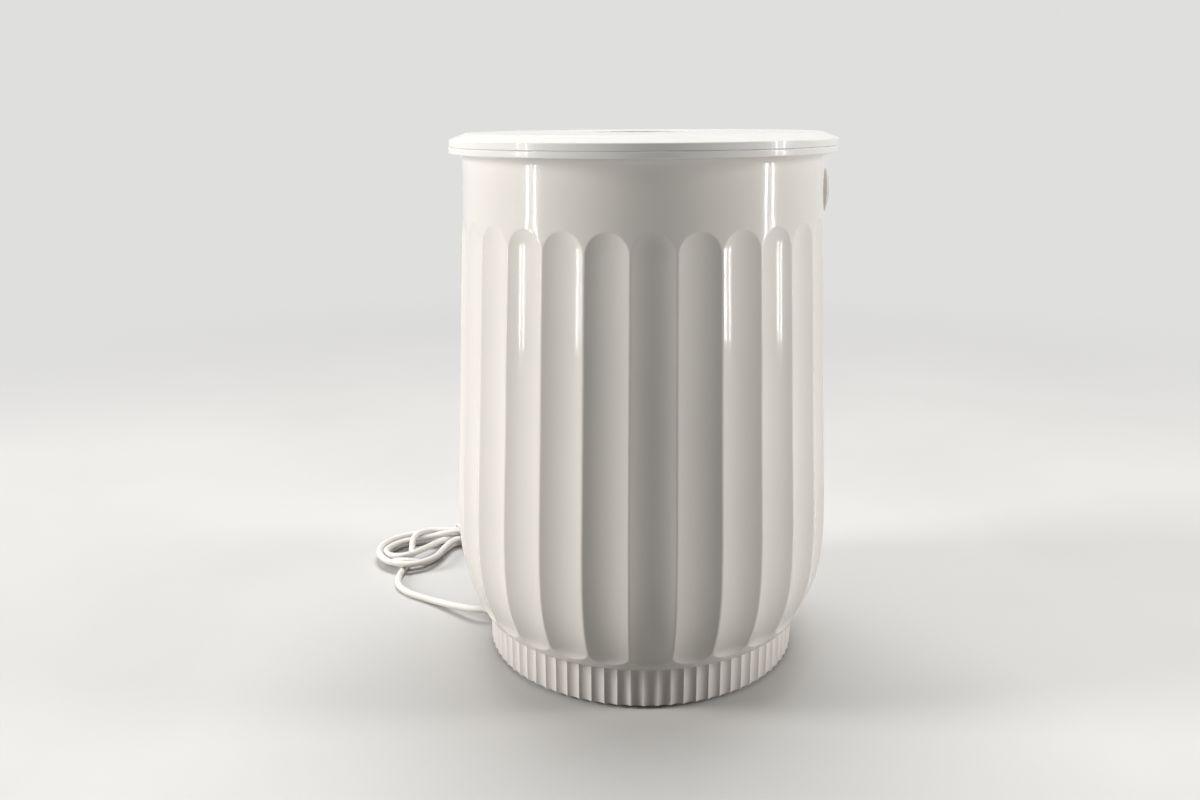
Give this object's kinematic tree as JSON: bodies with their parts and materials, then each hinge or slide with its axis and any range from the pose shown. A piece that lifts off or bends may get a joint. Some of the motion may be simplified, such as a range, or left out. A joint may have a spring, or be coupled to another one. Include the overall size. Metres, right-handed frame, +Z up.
{
  "type": "towel warmer bucket",
  "caption": "Bucket-shaped towel warmer: fluted white shell on a ribbed base ring, lift-off lid over a heated pot, push button and mains cord.",
  "frame": {"origin": "on the surface the feet stand on, at the body's upright axis", "axes": "+Z up, +X out of the push button, -X out of the mains lead's outlet"},
  "size_m": [0.4926, 0.435, 0.4835],
  "materials": {
    "shell_gloss": "high gloss moulded ABS, warm white",
    "ring_satin": "satin moulded ABS, warm white",
    "lid_gloss": "gloss moulded ABS, warm white",
    "inner_plastic": "unpolished moulded plastic",
    "pot_aluminium": "drawn and satin anodised",
    "shield_aluminium": "rolled sheet",
    "heater_foil": "foil-faced silicone heater",
    "sleeve_felt": "glass-fibre felt",
    "foam_grey": "closed-cell foam",
    "board_green": "solder-masked laminate",
    "component_black": "moulded components",
    "terminal_green": "moulded terminal block",
    "ceramic_white": "ceramic and phenolic",
    "screw_steel": "zinc-plated steel",
    "foot_rubber": "soft rubber",
    "seal_silicone": "translucent silicone",
    "button_gloss": "gloss plastic",
    "halo_clear": "translucent polycarbonate",
    "cord_white": "satin PVC",
    "wire_red": "silicone wire",
    "ribbon_grey": "flat cable",
    "tie_white": "coated wire tie",
    "pin_brass": "nickel-plated brass"
  },
  "bodies": {
    "body": {"outer_shell": "shell_gloss", "rim_collar": "shell_gloss", "collar_screws": "screw_steel", "base_ring": "ring_satin", "shell_screws": "screw_steel", "bottom_cover": "inner_plastic", "cover_screws": "screw_steel", "rubber_feet": "foot_rubber", "heat_shield": "shield_aluminium", "shield_screws": "screw_steel", "pot_wall": "pot_aluminium", "pot_floor": "pot_aluminium", "heater_band": "heater_foil", "insulation_sleeve": "sleeve_felt", "heater_leads": "wire_red", "thermostat": "ceramic_white", "fuse_holder": "ceramic_white", "thermal_fuse": "screw_steel", "power_board": "board_green", "power_components": "component_black", "terminal_block": "terminal_green", "board_screws": "screw_steel", "mains_lead": "cord_white", "lead_wires": "wire_red", "cord_gland": "cord_white", "gland_nut": "inner_plastic", "cord_clamp": "inner_plastic", "clamp_screws": "screw_steel", "button_bezel": "button_gloss", "light_ring": "halo_clear", "tact_switch": "component_black", "button_carrier": "inner_plastic", "carrier_screws": "screw_steel", "control_board": "board_green", "board_socket": "ceramic_white", "ribbon_cable": "ribbon_grey", "power_cord": "cord_white", "cord_hank": "cord_white", "hank_ties": "tie_white", "cord_tail": "cord_white", "plug_body": "cord_white", "plug_pins": "pin_brass"},
    "lid": {"lid_top": "lid_gloss", "lid_liner": "inner_plastic", "lid_insulation": "foam_grey", "lid_seal": "seal_silicone", "lid_screws": "screw_steel", "lid_grip": "lid_gloss", "grip_screws": "screw_steel"},
    "button": {"power_button": "button_gloss", "switch_plunger": "component_black"}
  },
  "joints": [
    {"name": "lid_lift", "type": "slide", "parent": "body", "child": "lid", "axis": [0, 0, 1], "range_m": [0, 0.3]},
    {"name": "button_press", "type": "slide", "parent": "body", "child": "button", "axis": [-1, 0, 0], "range_m": [0, 0.0012], "stiffness_N_per_m": 600}
  ]
}
